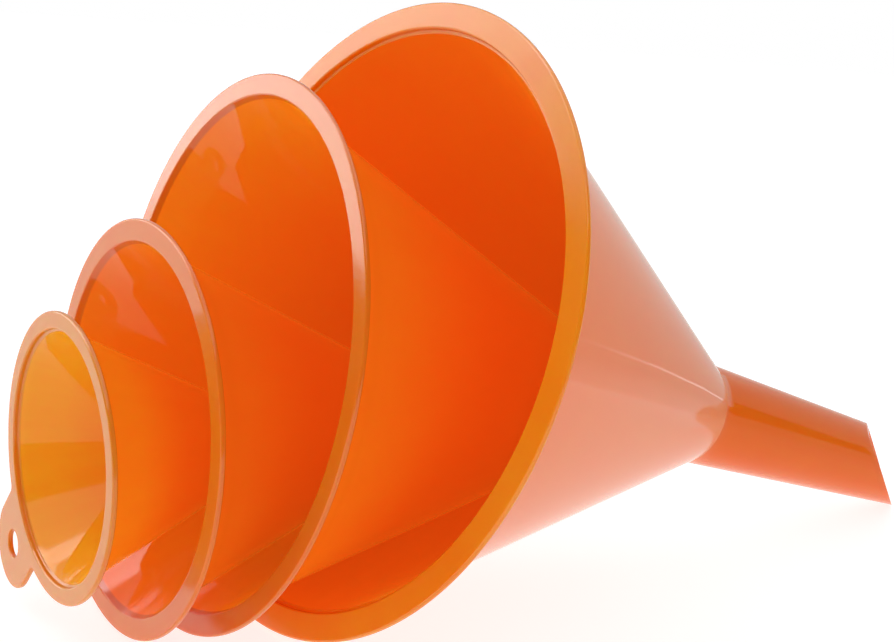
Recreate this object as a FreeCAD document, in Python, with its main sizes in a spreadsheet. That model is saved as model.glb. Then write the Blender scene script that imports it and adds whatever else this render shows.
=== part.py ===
import FreeCAD, Part
import os, math
import Sketcher

# A nest of four one-piece moulded funnels lying on its side. +Z is up and the
# supporting surface is Z = 0. The largest funnel's rim and the tip of its spout
# rest on that surface, and the three smaller funnels lie one inside the other,
# each leaning a few degrees in the bowl of the next.
#
# Every funnel is drawn in its own frame: the origin is the centre of the rim's
# flat front face, local +Z runs along the axis from the rim to the spout, and
# local +X points to the middle of the hanging tab. The hanging tab and the long
# side of the obliquely cut spout lie on the same side of the funnel.

SIZE_NAMES = ["large", "medium", "small", "mini"]

# rim_radius      outer radius of the flat rim flange
# mouth_radius    inner radius of the flange's front face
# flange          thickness of the flange and of the tab
# lip_depth       depth of the short straight wall inside the flange
# flare_depth     depth at which the wall has swept out of the rim into the cone; 0 where a step joins them
# cone_slope      tangent of the cone's half angle, outside
# apex            distance from the front face to the apex of the outer cone
# throat          distance from the front face to the end of the cone
# spout_root      outer radius of the spout where it leaves the cone
# spout_slope     taper of the spout, outside, as a slope
# wall            wall thickness, measured square to the axis
# tip_mid         distance from the front face to the tip plane on the axis
# tip_slope       slope of the oblique tip plane
# tab_radius      radius of the tab's round end
# tab_reach       distance from the axis to the centre of the tab's round end
# hole_radius     radius of the hanging hole
# shoulder_round  rounding of the cone's outer end at the spout
# pos_x..pos_z    centre of the rim's front face in the row frame
# dip             angle of the axis below the horizontal, degrees
# swing           angle of the axis from +X towards +Y, degrees
# clock           turn of the tab from the lowest point of the rim towards +Y, degrees
TABLE = {
    "large": dict(rim_radius=60.0, mouth_radius=54.9, flange=1.1, lip_depth=1.0, flare_depth=0.0, cone_slope=0.471, apex=118.6,
                  throat=93.2, spout_root=11.4, spout_slope=0.034, wall=1.1, tip_mid=166.9, tip_slope=1.75,
                  tab_radius=9.0, tab_reach=64.7, hole_radius=2.6, shoulder_round=0.45,
                  pos_x=0.0, pos_y=0.0, pos_z=57.92, dip=16.22, swing=0.0, clock=50.8),
    "medium": dict(rim_radius=50.9, mouth_radius=46.9, flange=1.0, lip_depth=0.3, flare_depth=8.0, cone_slope=0.431, apex=110.0,
                   throat=88.0, spout_root=9.2, spout_slope=0.045, wall=1.0, tip_mid=119.0, tip_slope=1.0,
                   tab_radius=8.6, tab_reach=55.4, hole_radius=2.6, shoulder_round=0.4,
                   pos_x=-22.88, pos_y=8.36, pos_z=50.376, dip=9.44, swing=-4.70, clock=46.0),
    "small": dict(rim_radius=36.9, mouth_radius=32.9, flange=1.0, lip_depth=0.3, flare_depth=7.0, cone_slope=0.451, apex=74.0,
                  throat=58.0, spout_root=6.75, spout_slope=0.036, wall=0.9, tip_mid=110.0, tip_slope=1.0,
                  tab_radius=8.4, tab_reach=41.5, hole_radius=2.6, shoulder_round=0.3,
                  pos_x=-40.57, pos_y=7.18, pos_z=37.76, dip=2.27, swing=-3.24, clock=54.0),
    "mini": dict(rim_radius=25.2, mouth_radius=22.1, flange=1.0, lip_depth=1.0, flare_depth=0.0, cone_slope=0.46, apex=49.9,
                 throat=39.1, spout_root=4.6, spout_slope=0.029, wall=0.8, tip_mid=82.0, tip_slope=1.0,
                 tab_radius=8.2, tab_reach=29.9, hole_radius=2.6, shoulder_round=0.2,
                 pos_x=-54.24, pos_y=6.55, pos_z=33.96, dip=0.30, swing=-2.71, clock=43.0),
}
# Shift that puts the row's origin under the middle of the nest's bounding box.
SHIFT = {"shift_x": -58.84, "shift_y": 0.0, "shift_z": 0.0}

doc = FreeCAD.newDocument("funnel_nest")

# ---------------------------------------------------------------- the sizes
sheet = doc.addObject("Spreadsheet::Sheet", "Sizes")
sheet.Label = "Sizes"
row = 1
for size_name in SIZE_NAMES:
    for key, value in TABLE[size_name].items():
        alias = size_name + "_" + key
        sheet.set("A%d" % row, alias)
        sheet.set("B%d" % row, repr(float(value)))
        sheet.setAlias("B%d" % row, alias)
        row += 1
for key, value in SHIFT.items():
    sheet.set("A%d" % row, key)
    sheet.set("B%d" % row, repr(float(value)))
    sheet.setAlias("B%d" % row, key)
    row += 1
doc.recompute()


def cell(alias):
    return float(sheet.get(alias))


def plane_of(body, role):
    for feature in body.Origin.OriginFeatures:
        if feature.Role == role:
            return feature
    raise ValueError(role)


def expr(size_name, text):
    """Replace each [key] with the sheet cell of this size."""
    out = text
    for key in TABLE[size_name]:
        out = out.replace("[" + key + "]", "<<Sizes>>." + size_name + "_" + key)
    return out


def value_of(size_name, text):
    out = text
    for key in TABLE[size_name]:
        out = out.replace("[" + key + "]", "(" + repr(cell(size_name + "_" + key)) + ")")
    return worked_out(out)


def worked_out(text):
    """Arithmetic on plain numbers, worked out in a spare cell of the sheet."""
    sheet.set("D1", "=" + text)
    sheet.recompute()
    return float(sheet.get("D1"))


def pin_vertex(sketch, geo, pos, size_name, x_text, y_text):
    """Fix a vertex at (x, y) from the sketch origin, each bound to the sheet."""
    for kind, text in (("DistanceX", x_text), ("DistanceY", y_text)):
        number = value_of(size_name, text)
        if abs(number) < 1e-9:
            # on the other axis of the sketch
            axis_geo = -2 if kind == "DistanceX" else -1
            sketch.addConstraint(Sketcher.Constraint("PointOnObject", geo, pos, axis_geo))
            continue
        if number > 0:
            index = sketch.addConstraint(Sketcher.Constraint(kind, -1, 1, geo, pos, number))
            sketch.setExpression("Constraints[%d]" % index, expr(size_name, text))
        else:
            index = sketch.addConstraint(Sketcher.Constraint(kind, geo, pos, -1, 1, -number))
            sketch.setExpression("Constraints[%d]" % index, "-(" + expr(size_name, text) + ")")


def polygon_sketch(body, name, role, size_name, vertices):
    sketch = body.newObject("Sketcher::SketchObject", name)
    sketch.AttachmentSupport = [(plane_of(body, role), "")]
    sketch.MapMode = "FlatFace"
    numbers = [(value_of(size_name, vx), value_of(size_name, vy)) for vx, vy in vertices]
    count = len(numbers)
    for i in range(count):
        ax, ay = numbers[i]
        bx, by = numbers[(i + 1) % count]
        sketch.addGeometry(Part.LineSegment(FreeCAD.Vector(ax, ay, 0), FreeCAD.Vector(bx, by, 0)), False)
    for i in range(count):
        sketch.addConstraint(Sketcher.Constraint("Coincident", i, 2, (i + 1) % count, 1))
    for i, (vx, vy) in enumerate(vertices):
        pin_vertex(sketch, i, 1, size_name, vx, vy)
    return sketch


def circle_edges(shape, radius, height):
    """Names of the round edges of a given radius at a given height on the axis."""
    names = []
    for i, edge in enumerate(shape.Edges):
        curve = edge.Curve
        if curve.TypeId != "Part::GeomCircle":
            continue
        if abs(curve.Radius - radius) < 0.02 and abs(curve.Center.z - height) < 0.02:
            if math.hypot(curve.Center.x, curve.Center.y) < 0.02:
                names.append("Edge%d" % (i + 1))
    return names


def make_funnel(size_name):
    body = doc.addObject("PartDesign::Body", "Body_" + size_name)
    body.Label = "funnel_" + size_name

    # The wall's half section, turned once round the axis: flange, cone, spout.
    outer_at = "[cone_slope] * ([apex] - %s)"
    spout_at = "([spout_root] - [spout_slope] * (%s - [throat]))"
    end = "([tip_mid] + [tip_slope] * 14)"
    # The middle sizes' walls sweep straight into the rim; the others have a small step inside it.
    swept = cell(size_name + "_flare_depth") > 0.0
    inner_from = "[flare_depth]" if swept else "[lip_depth]"
    section = [
        ("[mouth_radius]", "0"),
        ("[rim_radius]", "0"),
        ("[rim_radius]", "[flange]"),
    ]
    if swept:
        section += [
            ("[mouth_radius] + [wall]", "[flange]"),
            (outer_at % "[flare_depth]", "[flare_depth]"),
        ]
    else:
        section += [(outer_at % "[flange]", "[flange]")]
    section += [
        (outer_at % "[throat]", "[throat]"),
        ("[spout_root]", "[throat]"),
        (spout_at % end, end),
        ((spout_at % end) + " - [wall]", end),
        ("[spout_root] - [wall]", "[throat]"),
        ((outer_at % inner_from) + " - [wall]", inner_from),
        ("[mouth_radius]", "[lip_depth]"),
    ]
    profile = polygon_sketch(body, "Section_" + size_name, "XZ_Plane", size_name, section)
    doc.recompute()
    turned = body.newObject("PartDesign::Revolution", "Wall_" + size_name)
    turned.Profile = profile
    turned.ReferenceAxis = (profile, ["V_Axis"])
    turned.Angle = 360.0
    profile.Visibility = False
    doc.recompute()

    # The hanging tab: straight sides and a round end, as thick as the flange.
    tab = body.newObject("Sketcher::SketchObject", "TabOutline_" + size_name)
    tab.AttachmentSupport = [(plane_of(body, "XY_Plane"), "")]
    tab.MapMode = "FlatFace"
    reach = cell(size_name + "_tab_reach")
    half = cell(size_name + "_tab_radius")
    root = cell(size_name + "_mouth_radius") + 0.6
    V = FreeCAD.Vector
    tab.addGeometry(Part.LineSegment(V(root, -half, 0), V(reach, -half, 0)), False)
    tab.addGeometry(Part.ArcOfCircle(Part.Circle(V(reach, 0, 0), V(0, 0, 1), half), -math.pi / 2, math.pi / 2), False)
    tab.addGeometry(Part.LineSegment(V(reach, half, 0), V(root, half, 0)), False)
    tab.addGeometry(Part.LineSegment(V(root, half, 0), V(root, -half, 0)), False)
    tab.addConstraint(Sketcher.Constraint("Tangent", 0, 2, 1, 1))
    tab.addConstraint(Sketcher.Constraint("Tangent", 1, 2, 2, 1))
    tab.addConstraint(Sketcher.Constraint("Coincident", 2, 2, 3, 1))
    tab.addConstraint(Sketcher.Constraint("Coincident", 3, 2, 0, 1))
    tab.addConstraint(Sketcher.Constraint("PointOnObject", 1, 3, -1))
    tab.addConstraint(Sketcher.Constraint("Vertical", 3))
    index = tab.addConstraint(Sketcher.Constraint("Radius", 1, half))
    tab.setExpression("Constraints[%d]" % index, expr(size_name, "[tab_radius]"))
    index = tab.addConstraint(Sketcher.Constraint("DistanceX", -1, 1, 1, 3, reach))
    tab.setExpression("Constraints[%d]" % index, expr(size_name, "[tab_reach]"))
    index = tab.addConstraint(Sketcher.Constraint("DistanceX", -1, 1, 3, 1, root))
    tab.setExpression("Constraints[%d]" % index, expr(size_name, "[mouth_radius] + 0.6"))
    tab.addConstraint(Sketcher.Constraint("Horizontal", 0))
    doc.recompute()
    tab_pad = body.newObject("PartDesign::Pad", "Tab_" + size_name)
    tab_pad.Profile = tab
    tab_pad.setExpression("Length", expr(size_name, "[flange]"))
    tab.Visibility = False
    doc.recompute()

    # The hanging hole, right through the tab.
    before = body.Shape.Volume
    hole = body.newObject("Sketcher::SketchObject", "HoleOutline_" + size_name)
    hole.AttachmentSupport = [(plane_of(body, "XY_Plane"), "")]
    hole.MapMode = "FlatFace"
    hole.addGeometry(Part.Circle(V(reach, 0, 0), V(0, 0, 1), cell(size_name + "_hole_radius")), False)
    hole.addConstraint(Sketcher.Constraint("PointOnObject", 0, 3, -1))
    index = hole.addConstraint(Sketcher.Constraint("DistanceX", -1, 1, 0, 3, reach))
    hole.setExpression("Constraints[%d]" % index, expr(size_name, "[tab_reach]"))
    index = hole.addConstraint(Sketcher.Constraint("Radius", 0, cell(size_name + "_hole_radius")))
    hole.setExpression("Constraints[%d]" % index, expr(size_name, "[hole_radius]"))
    doc.recompute()
    hole_cut = body.newObject("PartDesign::Pocket", "HangingHole_" + size_name)
    hole_cut.Profile = hole
    hole_cut.Midplane = True
    hole_cut.setExpression("Length", expr(size_name, "[flange] * 4"))
    hole.Visibility = False
    doc.recompute()
    if not body.Shape.Volume < before - 1.0:
        raise RuntimeError("the hanging hole cuts nothing: " + size_name)

    # The oblique tip: everything beyond a plane that leans along local X.
    before = body.Shape.Volume
    beyond = "([tip_mid] + [tip_slope] * 40)"
    tip = polygon_sketch(body, "TipOutline_" + size_name, "XZ_Plane", size_name, [
        ("0 - 16", "[tip_mid] - [tip_slope] * 16"),
        ("16", "[tip_mid] + [tip_slope] * 16"),
        ("16", beyond),
        ("0 - 16", beyond),
    ])
    doc.recompute()
    tip_cut = body.newObject("PartDesign::Pocket", "ObliqueTip_" + size_name)
    tip_cut.Profile = tip
    tip_cut.Midplane = True
    tip_cut.setExpression("Length", expr(size_name, "[spout_root] * 6"))
    tip.Visibility = False
    doc.recompute()
    if not body.Shape.Volume < before - 10.0:
        raise RuntimeError("the oblique tip cuts nothing: " + size_name)

    # The rounded shoulder where the cone ends and the spout begins.
    base = body.Tip
    radius = cell(size_name + "_cone_slope") * (cell(size_name + "_apex") - cell(size_name + "_throat"))
    edges = circle_edges(base.Shape, radius, cell(size_name + "_throat"))
    if not edges:
        raise RuntimeError("no shoulder edge found: " + size_name)
    rounding = body.newObject("PartDesign::Fillet", "Shoulder_" + size_name)
    rounding.Base = (base, edges)
    rounding.setExpression("Radius", expr(size_name, "[shoulder_round]"))
    doc.recompute()

    # Where it lies in the nest.
    turn = (FreeCAD.Rotation(V(0, 0, 1), cell(size_name + "_swing"))
            .multiply(FreeCAD.Rotation(V(0, 1, 0), 90.0 + cell(size_name + "_dip")))
            .multiply(FreeCAD.Rotation(V(0, 0, 1), cell(size_name + "_clock"))))
    body.Placement = FreeCAD.Placement(
        V(cell(size_name + "_pos_x") + cell("shift_x"),
          cell(size_name + "_pos_y") + cell("shift_y"),
          cell(size_name + "_pos_z") + cell("shift_z")), turn)
    return body


bodies = [make_funnel(size_name) for size_name in SIZE_NAMES]
sheet.clear("D1")
doc.recompute()

# ---------------------------------------------------------------- checks
for item in doc.Objects:
    for word in item.State:
        if word in ("Invalid", "Error"):
            raise RuntimeError("failed object: " + item.Name + " " + str(item.State))
for body in bodies:
    shape = body.Shape
    if shape.isNull() or not shape.isValid() or len(shape.Solids) != 1:
        raise RuntimeError("bad shape: " + body.Label)
    print(body.Label, "volume %.1f mm3" % shape.Volume, "solids", len(shape.Solids))

box = FreeCAD.BoundBox()
for body in bodies:
    box.add(body.Shape.optimalBoundingBox(True, False))
print("box X %.3f %.3f  Y %.3f %.3f  Z %.3f %.3f" % (box.XMin, box.XMax, box.YMin, box.YMax, box.ZMin, box.ZMax))

# ---------------------------------------------------------------- export
os.makedirs("parts", exist_ok=True)
for body in bodies:
    body.Shape.exportStep(os.path.join("parts", body.Label + ".step"))
print("parts written")
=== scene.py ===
# Nest of four glossy orange funnels: finished meshes, materials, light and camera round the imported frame.
import bpy, bmesh, math
from mathutils import Matrix, Vector


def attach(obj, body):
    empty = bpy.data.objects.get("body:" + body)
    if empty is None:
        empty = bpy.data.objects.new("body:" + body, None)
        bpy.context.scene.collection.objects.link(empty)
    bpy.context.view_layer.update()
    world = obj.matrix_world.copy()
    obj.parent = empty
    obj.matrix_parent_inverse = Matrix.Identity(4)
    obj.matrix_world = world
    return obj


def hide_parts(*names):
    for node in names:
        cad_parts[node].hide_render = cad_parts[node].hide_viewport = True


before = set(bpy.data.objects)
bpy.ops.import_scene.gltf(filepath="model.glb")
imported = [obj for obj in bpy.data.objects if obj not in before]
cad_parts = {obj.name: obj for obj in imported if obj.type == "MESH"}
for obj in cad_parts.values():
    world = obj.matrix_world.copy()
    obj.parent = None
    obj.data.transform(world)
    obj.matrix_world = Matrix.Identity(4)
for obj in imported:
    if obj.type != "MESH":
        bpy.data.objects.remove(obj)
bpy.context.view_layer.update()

MM = 0.001
# The funnels' own sizes and places, in millimetres and degrees, as the CAD model has them.
SHIFT_X = -58.84
FUNNELS = {
    "large": dict(rim=60.0, mouth=54.9, flange=1.1, lip=1.0, slope=0.471, apex=118.6, throat=93.2,
                  root=11.4, taper=0.034, wall=1.1, tip=166.9, cut=1.75, tab=9.0, reach=64.7, hole=2.6,
                  pos=(0.0, 0.0, 57.92), dip=16.22, swing=0.0, clock=50.8),
    "medium": dict(rim=50.9, mouth=46.9, flange=1.0, lip=0.3, flare=8.0, slope=0.431, apex=110.0, throat=88.0,
                   root=9.2, taper=0.045, wall=1.0, tip=119.0, cut=1.0, tab=8.6, reach=55.4, hole=2.6,
                   pos=(-22.88, 8.36, 50.376), dip=9.44, swing=-4.70, clock=46.0),
    "small": dict(rim=36.9, mouth=32.9, flange=1.0, lip=0.3, flare=7.0, slope=0.451, apex=74.0, throat=58.0,
                  root=6.75, taper=0.036, wall=0.9, tip=110.0, cut=1.0, tab=8.4, reach=41.5, hole=2.6,
                  pos=(-40.57, 7.18, 37.76), dip=2.27, swing=-3.24, clock=54.0),
    "mini": dict(rim=25.2, mouth=22.1, flange=1.0, lip=1.0, slope=0.46, apex=49.9, throat=39.1,
                 root=4.6, taper=0.029, wall=0.8, tip=82.0, cut=1.0, tab=8.2, reach=29.9, hole=2.6,
                 pos=(-54.24, 6.55, 33.96), dip=0.30, swing=-2.71, clock=43.0),
}


def placement(t):
    x, y, z = t["pos"]
    turn = (Matrix.Rotation(math.radians(t["swing"]), 4, "Z")
            @ Matrix.Rotation(math.radians(90.0 + t["dip"]), 4, "Y")
            @ Matrix.Rotation(math.radians(t["clock"]), 4, "Z"))
    return Matrix.Translation(Vector(((x + SHIFT_X) * MM, y * MM, z * MM))) @ turn


# The studio's surroundings: bearing from, to, softness; height from, to, softness; brightness added.
# Bearing 0 is -Y, 90 is +X, 180 is +Y and 270 is -X.
LIGHT_BASE, LIGHT_TOP = 0.095, 0.60                          # what lights the plastic
LIGHT_PANELS = [
    (67, 186, 3.0, -90, 14, 3.0, 0.38),
    (67, 186, 3.0, 14, 50, 3.0, 0.29),
    (190, 236, 3.0, 0, 60, 3.0, 1.38),
    (240, 365, 6.0, -10, 50, 6.0, 0.77),
    (-10, 67, 3.0, 18, 50, 3.0, 0.53),
]
MIRROR_BASE, MIRROR_TOP = 0.06, 1.40                        # what it mirrors
MIRROR_PANELS = [
    (67, 190, 1.0, -90, 15, 3.0, 0.66),                     # white boards to the right and behind
    (67, 190, 1.0, 15, 60, 3.0, 0.74),                      # their upper part
    (191, 214, 2.0, -12, 75, 2.0, 3.6),                     # bright softbox, behind on the left
    (206, 215, 2.0, 12, 75, 3.0, 0.6),                      # brighter higher up
    (214, 220, 1.5, 14, 75, 1.5, 1.2),
    (214, 236, 2.0, 23, 60, 3.5, 4.8),                      # the same softbox's overhang
]

# ------------------------------------------------------------------ rim outline
def outline(t, d=0.0):
    """The flange's outer edge with its tab, moved inwards by d, as points in order round the axis."""
    R, c, h, rf = t["rim"] - d, t["reach"], t["tab"] - d, 1.1 + d
    xf = math.sqrt((R + rf) ** 2 - (h + rf) ** 2)
    upper = []
    for i in range(17):                                   # the tab's round end
        a = math.pi / 2 * i / 16
        upper.append((c + h * math.cos(a), h * math.sin(a)))
    for i in range(1, 6):                                 # its straight side
        upper.append((c + (xf - c) * i / 6, h))
    a0, a1 = -math.pi / 2, math.atan2(-(h + rf), -xf)      # the fillet where it meets the rim
    for i in range(0, 9):
        a = a0 + (a1 - a0) * i / 8
        upper.append((xf + rf * math.cos(a), h + rf + rf * math.sin(a)))
    b0 = math.atan2(h + rf, xf)
    n = int(220 * (math.pi - b0) / math.pi)
    for i in range(1, n + 1):                             # the round rim
        a = b0 + (math.pi - b0) * i / n
        upper.append((R * math.cos(a), R * math.sin(a)))
    lower = [(x, -y) for x, y in reversed(upper[1:-1])]
    return upper + lower


def round_corner(p, q, s, r, n=5):
    """Points of an arc of radius r that rounds the corner q between p and s."""
    q = Vector(q)
    u, v = (Vector(p) - q).normalized(), (Vector(s) - q).normalized()
    half = u.angle(v) / 2
    reach = r / math.tan(half)
    a, b = q + u * reach, q + v * reach
    centre = q + (u + v).normalized() * (r / math.sin(half))
    out = []
    for i in range(n + 1):
        w = i / n
        m = a.lerp(b, w) - centre
        out.append(tuple(centre + m.normalized() * r))
    return out


def build(name):
    t = FUNNELS[name]
    k = {60.0: 1.0}.get(t["rim"], 0.85)
    edge = 0.42 * k
    base = outline(t)
    N = len(base)
    ang = [math.atan2(y, x) for x, y in base]
    z_edge = t["flange"]

    def oc(z):
        return t["slope"] * (t["apex"] - z)

    def so(z):
        return t["root"] - t["taper"] * (z - t["throat"])

    flare = t.get("flare", 0.0)                            # depth of the sweep from rim to cone, 0 for a step
    cone_from = flare or t["lip"]
    r_in0 = oc(cone_from) - t["wall"]
    r_in1 = t["root"] - t["wall"]

    bm = bmesh.new()
    outer_side = bm.verts.layers.float.new("outer_side")      # 1 on the outside of cone and spout, 0 inside
    zone = [1.0]

    def ring(points):
        vs = [bm.verts.new(Vector(p) * MM) for p in points]
        for v in vs:
            v[outer_side] = zone[0]
        return vs

    def circle(r, z):
        return ring([(r * math.cos(a), r * math.sin(a), z) for a in ang])

    def rim_ring(d, z):
        return ring([(x, y, z) for x, y in outline(t, d)])

    # the tip plane, rounded off a little at both ends
    def tip_z(x, r):
        u = max(-1.0, min(1.0, x / r))
        z = t["tip"] + t["cut"] * x
        return z - 0.9 * k * math.exp(-(1 + u) / 0.10) - 1.8 * k * math.exp(-(1 - u) / 0.07)

    def spout_ring(radius_of, w, back=0.0):
        """A ring on the spout, w from 0 at the throat to 1 at the tip plane."""
        pts = []
        for a in ang:
            z = t["throat"] + w * (t["tip"] - t["throat"])
            for _ in range(4):
                r = radius_of(z)
                z = t["throat"] + w * (tip_z(r * math.cos(a), r) - back - t["throat"])
            r = radius_of(z)
            pts.append((r * math.cos(a), r * math.sin(a), z))
        return ring(pts)

    # profile corners
    r_out0 = t["mouth"] + t["wall"] if flare else oc(z_edge)
    rings = []                                             # outside, from the front face's outer edge back to the tip

    # front face rounding: outer edge
    front_outer = rim_ring(edge, 0.0)
    outer = [front_outer]
    for i in range(1, 5):
        a = math.pi / 2 * i / 4
        outer.append(rim_ring(edge * (1 - math.sin(a)), edge * (1 - math.cos(a))))
    for i in range(0, 5):
        a = math.pi / 2 * i / 4
        outer.append(rim_ring(edge * (1 - math.cos(a)), z_edge - edge * (1 - math.sin(a))))
    back_outer = outer[-1]

    # back face to the cone: concave fillet, then the cone, the rounded shoulder and the spout
    L1 = (r_out0 + 3.0, z_edge)
    L2 = (r_out0, z_edge)
    L3 = (oc(flare), flare) if flare else (oc(z_edge + 5.0), z_edge + 5.0)
    fil = round_corner(L1, L2, L3, 0.7 * k, 5)
    cone_end = (oc(t["throat"]), t["throat"])
    sh = round_corner(L3, cone_end, (t["root"], t["throat"]), min(0.42 * k, 0.45 * (cone_end[0] - t["root"])), 5) \
        if cone_end[0] - t["root"] > 0.1 else [cone_end]
    out_prof = list(fil)
    r_a, z_a = fil[-1]
    if flare:
        out_prof += [(r_a + (L3[0] - r_a) * w, z_a + (L3[1] - z_a) * w) for w in (0.25, 0.5, 0.75, 1.0)]
        r_a, z_a = L3
    r_b, z_b = sh[0]
    for i in range(1, 28):
        w = i / 28
        out_prof.append((r_a + (r_b - r_a) * w, z_a + (z_b - z_a) * w))
    out_prof += sh
    out_prof.append((t["root"] + 0.02, t["throat"] + 0.03))
    outside = [circle(r, z) for r, z in out_prof]
    for i in range(1, 18):
        outside.append(spout_ring(so, i / 18, 0.0))
    tip_r = 0.22 * k
    tips = [
        spout_ring(so, 1.0, 0.9 * tip_r),
        spout_ring(lambda z: so(z) - 0.12 * tip_r, 1.0, 0.45 * tip_r),
        spout_ring(lambda z: so(z) - 0.45 * tip_r, 1.0, 0.12 * tip_r),
        spout_ring(lambda z: so(z) - 1.0 * tip_r, 1.0, 0.0),
        spout_ring(lambda z: so(z) - t["wall"] + 1.0 * tip_r, 1.0, 0.0),
        spout_ring(lambda z: so(z) - t["wall"] + 0.45 * tip_r, 1.0, 0.12 * tip_r),
        spout_ring(lambda z: so(z) - t["wall"] + 0.12 * tip_r, 1.0, 0.45 * tip_r),
        spout_ring(lambda z: so(z) - t["wall"], 1.0, 0.9 * tip_r),
    ]
    zone[0] = 0.0
    inside = []
    for i in range(17, 0, -1):
        inside.append(spout_ring(lambda z: so(z) - t["wall"], i / 18, 0.0))
    # inner throat, rounded, then the cone up to the lip
    P_sp = (so(t["throat"] + 6) - t["wall"], t["throat"] + 6)
    P_th = (r_in1, t["throat"])
    P_co = (r_in0, cone_from)
    th = round_corner(P_sp, P_th, P_co, 2.5 * k, 6)
    in_prof = list(th)
    lip_c = round_corner(P_th, P_co, (t["mouth"], t["lip"]), 20.0 if flare else 0.25 * k, 3) \
        if t["mouth"] - r_in0 > 0.25 else None
    end = lip_c[0] if lip_c else P_co
    r_a, z_a = th[-1]
    for i in range(1, 28):
        w = i / 28
        in_prof.append((r_a + (end[0] - r_a) * w, z_a + (end[1] - z_a) * w))
    if lip_c:
        in_prof += lip_c
    else:
        in_prof.append(P_co)
    e2 = 0.42 * k
    if flare:
        r_a, z_a = in_prof[-1]
        in_prof += [(r_a + (t["mouth"] - r_a) * w, z_a + (t["lip"] - z_a) * w) for w in (0.25, 0.5, 0.75, 0.96)]
    else:
        in_prof.append((t["mouth"] - 0.04, t["lip"] - 0.12))
        in_prof.append((t["mouth"], t["lip"] - 0.3))
    for i in range(1 if flare else 0, 6):                  # the rounded inner edge of the rim
        a = math.pi / 2 * i / 5
        in_prof.append((t["mouth"] + e2 * (1 - math.cos(a)), e2 * (1 - math.sin(a))))
    inside += [circle(r, z) for r, z in in_prof]
    front_inner = inside[-1]

    def bridge(a, b, flip=False):
        for i in range(N):
            j = (i + 1) % N
            f = (a[i], a[j], b[j], b[i])
            bm.faces.new(f if not flip else f[::-1])

    chain = outer
    for a, b in zip(chain, chain[1:]):
        bridge(a, b)
    back_inner = outside[0]
    for a, b in zip(outside, outside[1:]):
        bridge(a, b)
    bridge(outside[-1], tips[0])
    for a, b in zip(tips, tips[1:]):
        bridge(a, b)
    bridge(tips[-1], inside[0])
    for a, b in zip(inside, inside[1:]):
        bridge(a, b)

    # the flat faces: quads round the rim, and the tab's sector filled round its hole
    tab_half = next(i for i, (x, y) in enumerate(base) if i > 24 and math.hypot(x, y) < t["rim"] + 0.002) + 3
    sector = [i % N for i in range(-tab_half, tab_half + 1)]
    nh = 48
    hole_rings = []
    zone[0] = 1.0
    he = 0.22
    prof = [(t["hole"] + he, 0.0), (t["hole"] + he * 0.3, he * 0.3), (t["hole"], he),
            (t["hole"], z_edge - he), (t["hole"] + he * 0.3, z_edge - he * 0.3), (t["hole"] + he, z_edge)]
    for r, z in prof:
        hole_rings.append(ring([(t["reach"] + r * math.cos(2 * math.pi * i / nh),
                                 r * math.sin(2 * math.pi * i / nh), z) for i in range(nh)]))
    for a, b in zip(hole_rings, hole_rings[1:]):
        for i in range(nh):
            j = (i + 1) % nh
            bm.faces.new((a[i], a[j], b[j], b[i]))

    def plate(inner, outr, hole, z_front):
        inside_sector = set(sector[:-1])
        for i in range(N):
            if i in inside_sector:
                continue
            j = (i + 1) % N
            bm.faces.new((inner[i], inner[j], outr[j], outr[i]))
        loop = [outr[i] for i in sector] + [inner[i] for i in reversed(sector)]
        edges = []
        for a, b in zip(loop, loop[1:] + loop[:1]):
            e = bm.edges.get((a, b)) or bm.edges.new((a, b))
            edges.append(e)
        for i in range(nh):
            a, b = hole[i], hole[(i + 1) % nh]
            edges.append(bm.edges.get((a, b)) or bm.edges.new((a, b)))
        bmesh.ops.triangle_fill(bm, edges=edges, use_beauty=True, use_dissolve=False)

    plate(front_inner, front_outer, hole_rings[0], True)
    plate(back_inner, back_outer, hole_rings[-1], False)
    bmesh.ops.recalc_face_normals(bm, faces=bm.faces)
    me = bpy.data.meshes.new("shell_" + name)
    bm.to_mesh(me)
    mould = me.attributes.new("mould", "FLOAT_VECTOR", "POINT")   # each point's place in the funnel's own frame
    mould.data.foreach_set("vector", [c for v in me.vertices for c in v.co])
    me.transform(placement(t))
    open_edges = sum(1 for e in bm.edges if len(e.link_faces) != 2)
    bm.free()
    print("mesh", name, "verts", len(me.vertices), "faces", len(me.polygons), "open edges", open_edges)
    me.shade_smooth()
    obj = bpy.data.objects.new("shell_" + name, me)
    bpy.context.scene.collection.objects.link(obj)
    wn = obj.modifiers.new("normals", "WEIGHTED_NORMAL")
    wn.mode = "FACE_AREA"
    wn.weight = 50
    wn.keep_sharp = False
    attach(obj, "funnel_" + name)
    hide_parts("funnel_" + name)
    return obj


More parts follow.
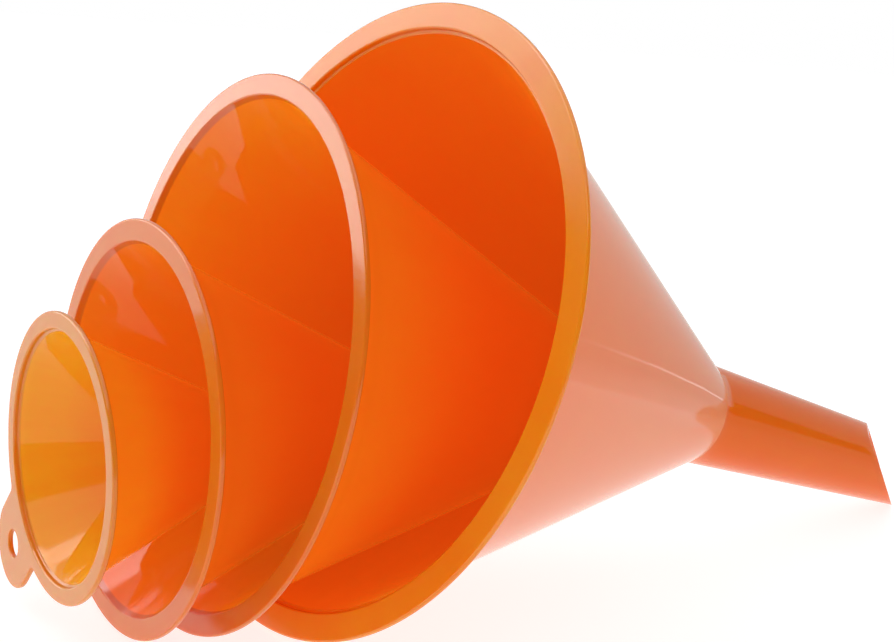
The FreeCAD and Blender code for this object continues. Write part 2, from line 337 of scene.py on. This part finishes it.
# ------------------------------------------------------------------ material
def plastic(name, inner_colour, outer_colour, rim_lit_tint, t):
    """Glossy, slightly translucent moulded polypropylene, in the funnel's own coordinates."""
    mat = bpy.data.materials.new("moulded_" + name)
    mat.use_nodes = True
    nt = mat.node_tree
    nt.nodes.clear()
    N, L = nt.nodes.new, nt.links.new
    out = N("ShaderNodeOutputMaterial")
    bsdf = N("ShaderNodeBsdfPrincipled")
    L(bsdf.outputs[0], out.inputs[0])
    tc = N("ShaderNodeAttribute")
    tc.attribute_type = "GEOMETRY"
    tc.attribute_name = "mould"
    sep = N("ShaderNodeSeparateXYZ")
    L(tc.outputs["Vector"], sep.inputs[0])

    def math_node(op, a, b=None, c=None, clamp=False):
        m = N("ShaderNodeMath")
        m.operation = op
        m.use_clamp = clamp
        for i, v in enumerate((a, b, c)):
            if v is None:
                continue
            if isinstance(v, (int, float)):
                m.inputs[i].default_value = v
            else:
                L(v, m.inputs[i])
        return m.outputs[0]

    x, y, z = sep.outputs
    rad = math_node("SQRT", math_node("ADD", math_node("MULTIPLY", x, x), math_node("MULTIPLY", y, y)))
    turn = math_node("ARCTAN2", y, x)
    # masks: the flange's flat front face
    on_front = math_node("SUBTRACT", 1.0, math_node("MULTIPLY", z, 1.0 / (0.25 * MM)), clamp=True)
    flange = math_node("MULTIPLY", math_node("SUBTRACT", 1.3 * MM, z), 1.0 / (0.3 * MM), clamp=True)

    def noise(scale, detail=2.0, vec=None, rough=0.5):
        n = N("ShaderNodeTexNoise")
        n.inputs["Scale"].default_value = scale
        n.inputs["Detail"].default_value = detail
        n.inputs["Roughness"].default_value = rough
        L(vec if vec is not None else tc.outputs["Vector"], n.inputs["Vector"])
        return n.outputs["Fac"]

    # colour: slow flow variation of the melt, faint mottling, and a lighter rim that is painted light
    flow = N("ShaderNodeCombineXYZ")
    L(math_node("MULTIPLY", math_node("COSINE", turn), 1.0), flow.inputs[0])
    L(math_node("MULTIPLY", math_node("SINE", turn), 1.0), flow.inputs[1])
    L(math_node("MULTIPLY", z, 9.0), flow.inputs[2])
    streak = noise(2.3, 3.0, flow.outputs[0], 0.6)
    cloud = noise(38.0, 3.0)
    mix_f = math_node("ADD", math_node("MULTIPLY", streak, 0.6), math_node("MULTIPLY", cloud, 0.4))
    outer = N("ShaderNodeAttribute")
    outer.attribute_type = "GEOMETRY"
    outer.attribute_name = "outer_side"

    def blend(fac, one, two):
        m = N("ShaderNodeMix")
        m.data_type = "RGBA"
        L(fac, m.inputs[0])
        for i, v in ((6, one), (7, two)):
            if isinstance(v, tuple):
                m.inputs[i].default_value = (*v, 1)
            else:
                L(v, m.inputs[i])
        return m.outputs[2]

    def flowed(base):
        """The colour with the melt's slow variation: a little deeper or yellower."""
        ramp = N("ShaderNodeValToRGB")
        ramp.color_ramp.elements[0].position = 0.30
        ramp.color_ramp.elements[0].color = (base[0], base[1] * 0.86, base[2] * 0.8, 1)
        ramp.color_ramp.elements[1].position = 0.72
        ramp.color_ramp.elements[1].color = (base[0], base[1] * 1.12, base[2] * 1.15, 1)
        L(mix_f, ramp.inputs[0])
        return ramp.outputs[0]

    # painted shade: the walls grow redder away from the rim
    painted_depth_shade = math_node("MULTIPLY", math_node("SUBTRACT", z, 8.0 * MM), 1.0 / ((t["throat"] * 0.46 - 8.0) * MM), clamp=True)
    out_shade_red, in_shade_red = PAINTED_SHADE_REDDEN[name]

    def depth_shade_reddening(colour, much):
        return blend(painted_depth_shade, flowed(colour), flowed((colour[0] * (1.0 if much > 0.9 else 1.04), colour[1] * much, colour[2])))

    wall_colour = blend(outer.outputs["Fac"], depth_shade_reddening(inner_colour, in_shade_red), depth_shade_reddening(outer_colour, out_shade_red))
    # painted shade: the spout is redder again than the cone
    spout = math_node("MULTIPLY", math_node("SUBTRACT", z, t["throat"] * MM), 1.0 / (1.5 * MM), clamp=True)
    wall_colour = blend(spout, wall_colour, flowed((outer_colour[0] * 1.06, outer_colour[1] * 0.80 * out_shade_red, outer_colour[2] * 0.8)))
    # painted light: the flange takes the lighter rim colour, as if lit where it faces the light
    rim_light_mix = N("ShaderNodeMix")
    rim_light_mix.data_type = "RGBA"
    L(math_node("MULTIPLY", flange, 0.92), rim_light_mix.inputs[0])
    L(wall_colour, rim_light_mix.inputs[6])
    L(flowed(rim_lit_tint), rim_light_mix.inputs[7])
    L(rim_light_mix.outputs[2], bsdf.inputs["Base Color"])

    # fine circular scuffs on the rim face: noise that runs round the axis
    scuff_vec = N("ShaderNodeCombineXYZ")
    L(math_node("MULTIPLY", rad, 5200.0), scuff_vec.inputs[0])
    L(math_node("MULTIPLY", turn, 5.0), scuff_vec.inputs[1])
    L(math_node("MULTIPLY", z, 300.0), scuff_vec.inputs[2])
    scuff = noise(1.0, 4.0, scuff_vec.outputs[0], 0.65)
    grain = noise(1500.0, 2.0)
    mott = noise(420.0, 3.0)

    rough = math_node("ADD", 0.045, math_node("MULTIPLY", math_node("SUBTRACT", mott, 0.5), 0.04))
    rough = math_node("ADD", rough, math_node("MULTIPLY", on_front, math_node("ADD", 0.10, math_node("MULTIPLY", math_node("SUBTRACT", scuff, 0.5), 0.22))))
    L(rough, bsdf.inputs["Roughness"])

    # relief: sink and flow waviness of a moulded wall, orange-peel grain, scuffs on the rim
    wave = noise(30.0, 2.0)
    h1 = math_node("MULTIPLY", wave, 0.00012)
    h2 = math_node("MULTIPLY", math_node("MULTIPLY", scuff, on_front), 0.000018)
    h3 = math_node("MULTIPLY", grain, 0.0000012)
    h4 = math_node("MULTIPLY", mott, 0.000003)
    height = math_node("ADD", math_node("ADD", h1, h2), math_node("ADD", h3, h4))
    bump = N("ShaderNodeBump")
    bump.inputs["Strength"].default_value = 1.0
    bump.inputs["Distance"].default_value = 1.0
    L(height, bump.inputs["Height"])
    L(bump.outputs[0], bsdf.inputs["Normal"])

    bsdf.inputs["IOR"].default_value = 1.50
    # the spout is a little less glossy than the cone
    shine = math_node("ADD", 0.27, math_node("MULTIPLY", math_node("MAXIMUM", outer.outputs["Fac"], flange), 0.23))
    L(math_node("SUBTRACT", shine, math_node("MULTIPLY", math_node("MULTIPLY", spout, outer.outputs["Fac"]), 0.32)),
      bsdf.inputs["Specular IOR Level"])
    # painted light: the walls emit a faint light that stands for light the thin walls pass on from their far side and
    # lifts the shade in the hollows; the rims have none
    painted_glow = blend(flange, tuple(PAINTED_GLOW), (0.0, 0.0, 0.0))
    L(painted_glow, bsdf.inputs["Emission Color"])
    bsdf.inputs["Emission Strength"].default_value = 1.0
    bsdf.inputs["Subsurface Weight"].default_value = 0.85
    bsdf.inputs["Subsurface Radius"].default_value = (1.0, 0.22, 0.05)
    bsdf.inputs["Subsurface Scale"].default_value = 0.0035
    return mat


# painted light: the colour the walls emit
PAINTED_GLOW = (0.091, 0.041, 0.0020)
# painted shade: how much redder the walls grow away from the rim
PAINTED_SHADE_REDDEN = {"large": (0.95, 1.0), "medium": (0.52, 0.50), "small": (0.60, 0.95), "mini": (0.60, 0.74)}   # outside, inside
# painted light and shade: the inside, outside and rim colours are lit and shaded copies of one plastic, the rim lighter
# as if lit where it faces the light
LOOKS_LIT_AND_SHADED = {                                                   # inside, outside, rim
    "large": ((0.97, 0.154, 0.006), (0.66, 0.125, 0.006), (0.76, 0.280, 0.010)),
    "medium": ((0.87, 0.245, 0.007), (0.86, 0.165, 0.006), (0.62, 0.180, 0.010)),
    "small": ((0.88, 0.205, 0.007), (0.82, 0.128, 0.006), (0.66, 0.190, 0.010)),
    "mini": ((0.73, 0.340, 0.012), (0.82, 0.255, 0.008), (0.61, 0.240, 0.020)),
}
for name in FUNNELS:
    obj = build(name)
    obj.data.materials.append(plastic(name, *LOOKS_LIT_AND_SHADED[name], FUNNELS[name]))

# ------------------------------------------------------------------ floor, light, camera
def material_floor():
    mat = bpy.data.materials.new("pale_floor")
    mat.use_nodes = True
    nt = mat.node_tree
    b = nt.nodes["Principled BSDF"]
    tc = nt.nodes.new("ShaderNodeTexCoord")
    n = nt.nodes.new("ShaderNodeTexNoise")
    n.inputs["Scale"].default_value = 6.0
    r = nt.nodes.new("ShaderNodeValToRGB")
    r.color_ramp.elements[0].color = (0.41, 0.41, 0.41, 1)
    r.color_ramp.elements[1].color = (0.45, 0.45, 0.45, 1)
    nt.links.new(tc.outputs["Object"], n.inputs["Vector"])
    nt.links.new(n.outputs["Fac"], r.inputs[0])
    nt.links.new(r.outputs[0], b.inputs["Base Color"])
    b.inputs["Roughness"].default_value = 0.6
    b.inputs["Specular IOR Level"].default_value = 0.2
    b.inputs["Emission Color"].default_value = (1.0, 1.0, 1.0, 1)   # a lit table: it glows a little from below
    b.inputs["Emission Strength"].default_value = 0.78
    mat.cycles.emission_sampling = "NONE"
    return mat


fm = bpy.data.meshes.new("floor")
s = 6.0
fm.from_pydata([(-s, -s, 0), (s, -s, 0), (s, s, 0), (-s, s, 0)], [], [(0, 1, 2, 3)])
floor = bpy.data.objects.new("floor", fm)
bpy.context.scene.collection.objects.link(floor)
floor.location = (0, 0, -0.0002)
floor.data.materials.append(material_floor())

world = bpy.data.worlds.new("studio")
bpy.context.scene.world = world
world.use_nodes = True
wt = world.node_tree
wt.nodes.clear()


def wmath(op, a, b=None, c=None, clamp=False):
    m = wt.nodes.new("ShaderNodeMath")
    m.operation = op
    m.use_clamp = clamp
    for i, v in enumerate((a, b, c)):
        if v is None:
            continue
        if isinstance(v, (int, float)):
            m.inputs[i].default_value = v
        else:
            wt.links.new(v, m.inputs[i])
    return m.outputs[0]


def step(value, lo, hi):
    """0 below lo, 1 above hi, smooth between."""
    m = wt.nodes.new("ShaderNodeMapRange")
    m.interpolation_type = "SMOOTHSTEP"
    wt.links.new(value, m.inputs["Value"])
    m.inputs["From Min"].default_value = lo
    m.inputs["From Max"].default_value = hi
    return m.outputs[0]


def window(value, lo, hi, soft):
    return wmath("MULTIPLY", step(value, lo - soft, lo + soft), wmath("SUBTRACT", 1.0, step(value, hi - soft, hi + soft)))


wtc = wt.nodes.new("ShaderNodeTexCoord")
wsep = wt.nodes.new("ShaderNodeSeparateXYZ")
wt.links.new(wtc.outputs["Generated"], wsep.inputs[0])
dx, dy, dz = wsep.outputs
deg = 180.0 / math.pi
# bearing: 0 along -Y, 90 along +X, 180 along +Y, 270 along -X
bearing = wmath("MULTIPLY", wmath("ARCTAN2", dx, wmath("MULTIPLY", dy, -1.0)), deg)
bearing = wmath("MODULO", wmath("ADD", bearing, 360.0), 360.0)
height = wmath("MULTIPLY", wmath("ARCSINE", dz), deg)
def surroundings(base, top, top_from, top_to, panels):
    level = wmath("ADD", wmath("MULTIPLY", step(height, top_from, top_to), top), base)
    for lo, hi, soft, elo, ehi, esoft, gain in panels:
        patch = wmath("MULTIPLY", window(bearing, lo, hi, soft), window(height, elo, ehi, esoft))
        level = wmath("ADD", level, wmath("MULTIPLY", patch, gain))
    return level


lamp = wt.nodes.new("ShaderNodeBackground")
lamp.inputs[0].default_value = (1.0, 0.995, 0.985, 1)
wt.links.new(surroundings(LIGHT_BASE, LIGHT_TOP, 38.0, 62.0, LIGHT_PANELS), lamp.inputs[1])
mirror = wt.nodes.new("ShaderNodeBackground")
mirror.inputs[0].default_value = (1.0, 0.995, 0.985, 1)
wt.links.new(surroundings(MIRROR_BASE, MIRROR_TOP, 46.0, 50.0, MIRROR_PANELS), mirror.inputs[1])
plain = wt.nodes.new("ShaderNodeBackground")
plain.inputs[0].default_value = (1, 1, 1, 1)
plain.inputs[1].default_value = 1.0
lp = wt.nodes.new("ShaderNodeLightPath")
mix_a = wt.nodes.new("ShaderNodeMixShader")
wt.links.new(lp.outputs["Is Glossy Ray"], mix_a.inputs[0])
wt.links.new(lamp.outputs[0], mix_a.inputs[1])
wt.links.new(mirror.outputs[0], mix_a.inputs[2])
mixw = wt.nodes.new("ShaderNodeMixShader")
wt.links.new(lp.outputs["Is Camera Ray"], mixw.inputs[0])
wt.links.new(mix_a.outputs[0], mixw.inputs[1])
wt.links.new(plain.outputs[0], mixw.inputs[2])
wout = wt.nodes.new("ShaderNodeOutputWorld")
wt.links.new(mixw.outputs[0], wout.inputs[0])



def card(name, corners, near, far, low, high, centre=(0.075, -0.005, 0.0)):
    """A flag or reflector lying on the table, seen only in the gloss; its brightness runs from low at
    distance near from the centre to high at far."""
    me = bpy.data.meshes.new(name)
    me.from_pydata([(x, y, 0.0004) for x, y in corners], [], [tuple(range(len(corners)))])
    ob = bpy.data.objects.new(name, me)
    bpy.context.scene.collection.objects.link(ob)
    mat = bpy.data.materials.new(name)
    mat.use_nodes = True
    nt = mat.node_tree
    nt.nodes.clear()
    tc = nt.nodes.new("ShaderNodeTexCoord")
    dist = nt.nodes.new("ShaderNodeVectorMath")
    dist.operation = "DISTANCE"
    nt.links.new(tc.outputs["Object"], dist.inputs[0])
    dist.inputs[1].default_value = centre
    mr = nt.nodes.new("ShaderNodeMapRange")
    nt.links.new(dist.outputs["Value"], mr.inputs["Value"])
    for key, v in (("From Min", near), ("From Max", far), ("To Min", low), ("To Max", high)):
        mr.inputs[key].default_value = v
    em = nt.nodes.new("ShaderNodeEmission")
    nt.links.new(mr.outputs[0], em.inputs["Strength"])
    out = nt.nodes.new("ShaderNodeOutputMaterial")
    nt.links.new(em.outputs[0], out.inputs[0])
    mat.cycles.emission_sampling = "NONE"
    ob.data.materials.append(mat)
    ob.visible_camera = ob.visible_diffuse = ob.visible_shadow = ob.visible_transmission = False
    return ob


card("table_edge", [(0.287, -0.9), (0.303, -0.9), (0.303, 0.5), (0.287, 0.5)], 0.985, 1.035, 0.82, 1.70,
     centre=(0.295, -1.0, 0.0))
card("far_board", [(0.303, -6.0), (6.0, -6.0), (6.0, 6.0), (0.303, 6.0)], 0.0, 1.0, 0.72, 0.72)
card("near_table", [(0.135, -0.9), (0.287, -0.9), (0.287, 0.5), (0.135, 0.5)], 0.06, 0.15, 0.98, 0.74)

cam_data = bpy.data.cameras.new("camera")
cam = bpy.data.objects.new("camera", cam_data)
bpy.context.scene.collection.objects.link(cam)
bpy.context.scene.camera = cam
cam_data.sensor_width = 36.0
cam_data.lens = 64.43
cam_data.clip_start, cam_data.clip_end = 0.01, 50
# columns: camera right, down and forward in the row frame
right = Vector((0.80447, -0.58915, 0.07576))
down = Vector((-0.04986, -0.19407, -0.97972))
ahead = Vector((0.59190, 0.78438, -0.18549))
m = Matrix.Identity(4)
for i in range(3):
    m[i][0], m[i][1], m[i][2] = right[i], -down[i], -ahead[i]
m.translation = Vector((-0.219877, -0.242380, 0.112600))
cam.matrix_world = m

bpy.context.scene.view_settings.view_transform = "Standard"
bpy.context.scene.view_settings.look = "None"
bpy.context.scene.view_settings.exposure = 0.0
bpy.context.scene.view_settings.gamma = 1.0
